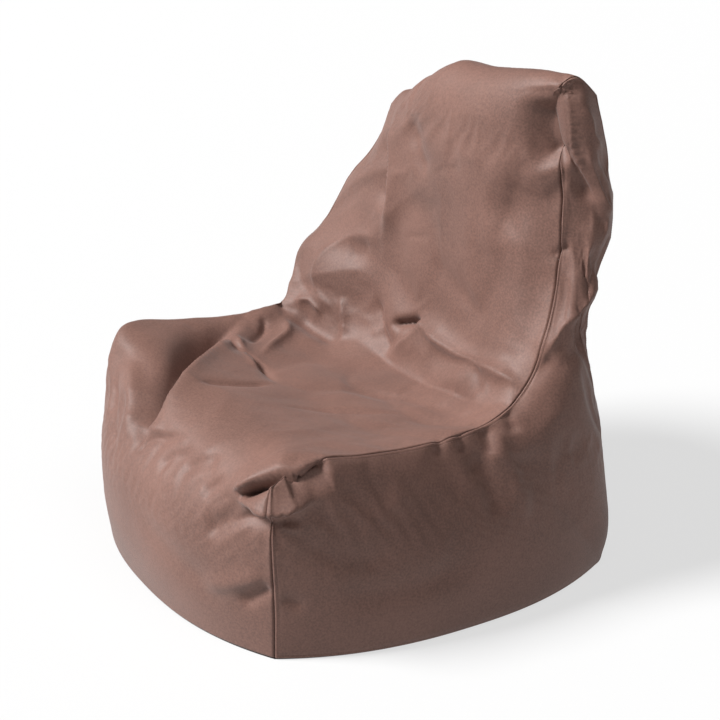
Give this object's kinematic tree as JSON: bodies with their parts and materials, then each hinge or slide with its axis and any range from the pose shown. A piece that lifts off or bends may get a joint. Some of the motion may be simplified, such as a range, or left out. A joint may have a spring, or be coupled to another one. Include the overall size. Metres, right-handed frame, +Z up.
{
  "type": "bean bag chair",
  "caption": "Bean bag chair with a low seat and a raised backrest: a sewn fabric cover zipped at the rear over a bead-filled liner.",
  "frame": {"origin": "on the floor, under the middle of the chair's bounding box", "axes": "+Z up, -Y the way the sitter faces, +X the sitter's left"},
  "size_m": [0.8846, 0.8756, 0.9373],
  "materials": {
    "cover_fabric": "satin",
    "base_fabric": "matte",
    "liner_fabric": "matte",
    "zip_tape": "matte",
    "zip_coil": "satin",
    "zip_metal": "satin",
    "bead_fill": "matte"
  },
  "bodies": {
    "bag": {"main_panel": "cover_fabric", "side_panel_left": "cover_fabric", "side_panel_right": "cover_fabric", "rear_panel_left": "cover_fabric", "rear_panel_right": "cover_fabric", "base_panel": "base_fabric", "liner_main_panel": "liner_fabric", "liner_side_panel_left": "liner_fabric", "liner_side_panel_right": "liner_fabric", "liner_rear_panel_left": "liner_fabric", "liner_rear_panel_right": "liner_fabric", "liner_base_panel": "liner_fabric", "zip_tape_left": "zip_tape", "zip_tape_right": "zip_tape", "zip_coil_left": "zip_coil", "zip_coil_right": "zip_coil", "zip_stop_bottom": "zip_metal", "zip_stop_top_left": "zip_metal", "zip_stop_top_right": "zip_metal", "liner_zip_tape_left": "zip_tape", "liner_zip_tape_right": "zip_tape", "liner_zip_coil_left": "zip_coil", "liner_zip_coil_right": "zip_coil", "liner_zip_stop_bottom": "zip_metal", "liner_zip_stop_top_left": "zip_metal", "liner_zip_stop_top_right": "zip_metal", "bead_fill": "bead_fill"},
    "zip_slider": {"zip_slider": "zip_metal"},
    "zip_pull": {"zip_pull": "zip_metal"},
    "liner_zip_slider": {"liner_zip_slider": "zip_metal"}
  },
  "joints": [
    {"name": "zip_slide", "type": "slide", "parent": "bag", "child": "zip_slider", "axis": [0, 0, 1], "range_m": [-0.475, 0]},
    {"name": "zip_pull_hinge", "type": "hinge", "parent": "zip_slider", "child": "zip_pull", "pos_m": [0, 0.4353, 0.5751], "axis": [1, 0, 0], "range_deg": [0, 170]},
    {"name": "liner_zip_slide", "type": "slide", "parent": "bag", "child": "liner_zip_slider", "axis": [0, 0, 1], "range_m": [-0.475, 0]}
  ]
}
